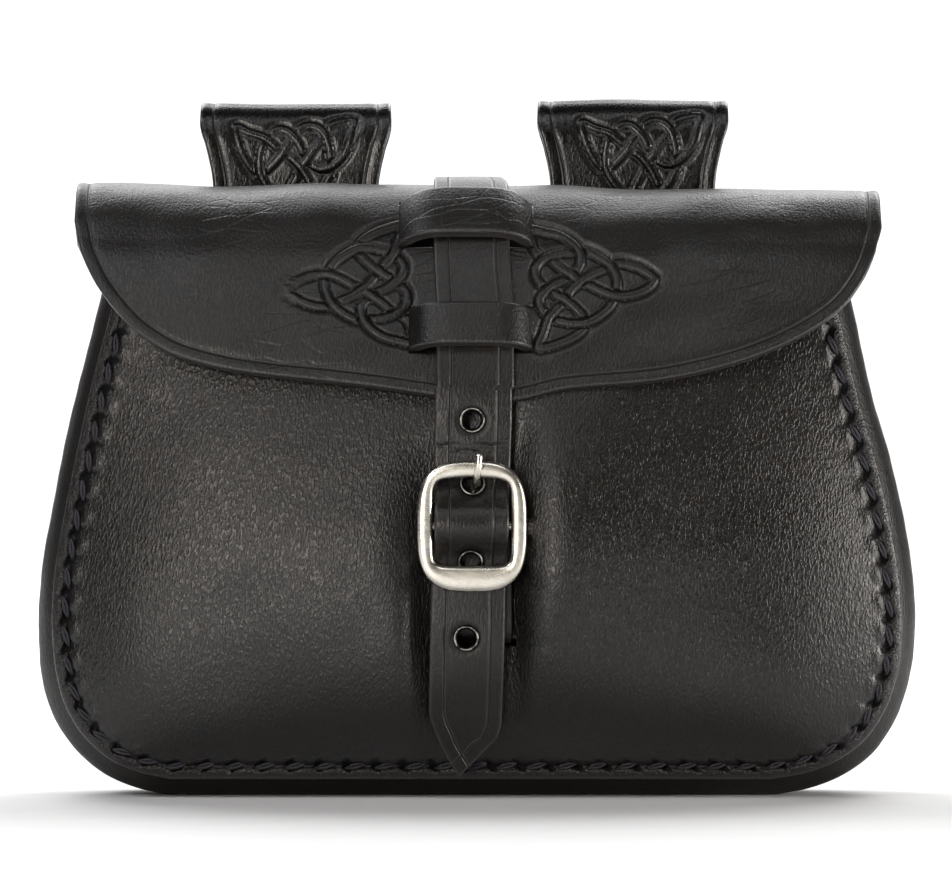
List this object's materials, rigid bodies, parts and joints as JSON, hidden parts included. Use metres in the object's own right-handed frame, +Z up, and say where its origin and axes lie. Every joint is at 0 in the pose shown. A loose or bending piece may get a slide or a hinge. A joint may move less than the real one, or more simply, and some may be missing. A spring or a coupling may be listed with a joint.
{
  "type": "leather belt pouch",
  "caption": "Black leather belt pouch with a buckled flap, a strap held by keepers, and loops behind for a belt.",
  "frame": {"origin": "on the floor under the middle of the pouch's bounding box", "axes": "+X to the right as seen from the front, +Y from the flap's front towards the belt loops at the back, +Z up"},
  "size_m": [0.2253, 0.0818, 0.1793],
  "materials": {
    "body_leather": "black, fine grain, satin, worn lighter at edges",
    "strap_leather": "black, smooth, satin, with lengthwise creases",
    "buckle_metal": "warm nickel, polished with fine scratches",
    "eyelet_metal": "blackened, worn bright on the rims"
  },
  "bodies": {
    "root": {"front_panel": "body_leather", "gusset": "body_leather", "back_panel": "body_leather", "flap": "body_leather", "strap": "strap_leather", "eyelet_1": "eyelet_metal", "eyelet_2": "eyelet_metal", "eyelet_3": "eyelet_metal", "eyelet_4": "eyelet_metal", "buckle_frame": "buckle_metal", "buckle_prong": "buckle_metal", "buckle_chape": "strap_leather", "belt_loop_left": "body_leather", "belt_loop_right": "body_leather"}
  },
  "joints": []
}
